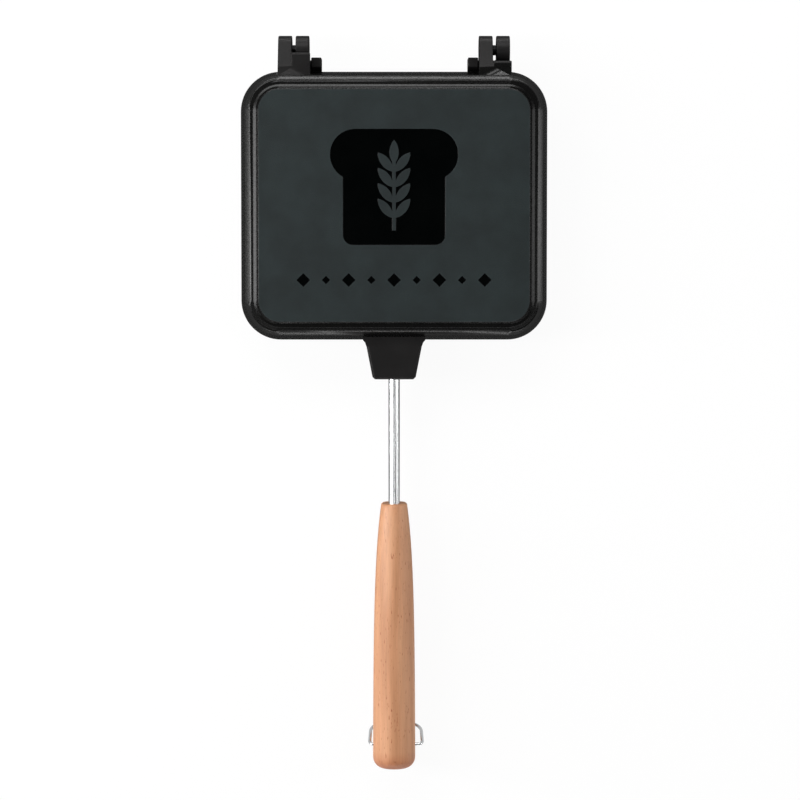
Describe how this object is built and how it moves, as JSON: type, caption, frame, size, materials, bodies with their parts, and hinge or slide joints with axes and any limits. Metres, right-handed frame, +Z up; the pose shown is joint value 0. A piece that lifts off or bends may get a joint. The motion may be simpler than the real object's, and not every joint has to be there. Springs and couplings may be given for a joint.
{
  "type": "pie iron",
  "caption": "Hinged two-plate pie iron for toasting a filled sandwich over a flame, with rod necks, wooden grips and a wire bail latch.",
  "frame": {"origin": "centre of the lower plate's outer face, which rests on the hob or table", "axes": "+Z up out of the shut plates, +Y towards the hinge, grips towards -Y, +X along the hinge line"},
  "size_m": [0.15, 0.3603, 0.037],
  "materials": {
    "coated_casting": "black non-stick coat, fine matte texture on the panels, satin on the rims",
    "dark_steel": "blackened steel",
    "plated_rod": "bright nickel plate",
    "beech": "sanded beech, thin oil",
    "bright_screw": "zinc plate",
    "spring_wire": "bright drawn wire"
  },
  "bodies": {
    "lower_half": {"lower_plate": "coated_casting", "hinge_pin_left": "dark_steel", "hinge_pin_right": "dark_steel", "lower_rod": "plated_rod", "lower_neck_pin": "dark_steel", "lower_grip": "beech", "lower_grip_screw": "bright_screw"},
    "upper_half": {"upper_plate": "coated_casting", "upper_rod": "plated_rod", "upper_neck_pin": "dark_steel", "upper_grip": "beech", "upper_grip_screw": "bright_screw"},
    "bail": {"wire_bail": "spring_wire"}
  },
  "joints": [
    {"name": "plate_hinge", "type": "hinge", "parent": "lower_half", "child": "upper_half", "pos_m": [0, 0.076, 0.0185], "axis": [-1, 0, 0], "range_deg": [0, 180]},
    {"name": "bail_pivot", "type": "hinge", "parent": "upper_half", "child": "bail", "pos_m": [0, -0.2655, 0.0225], "axis": [-1, 0, 0], "range_deg": [0, 255]}
  ]
}
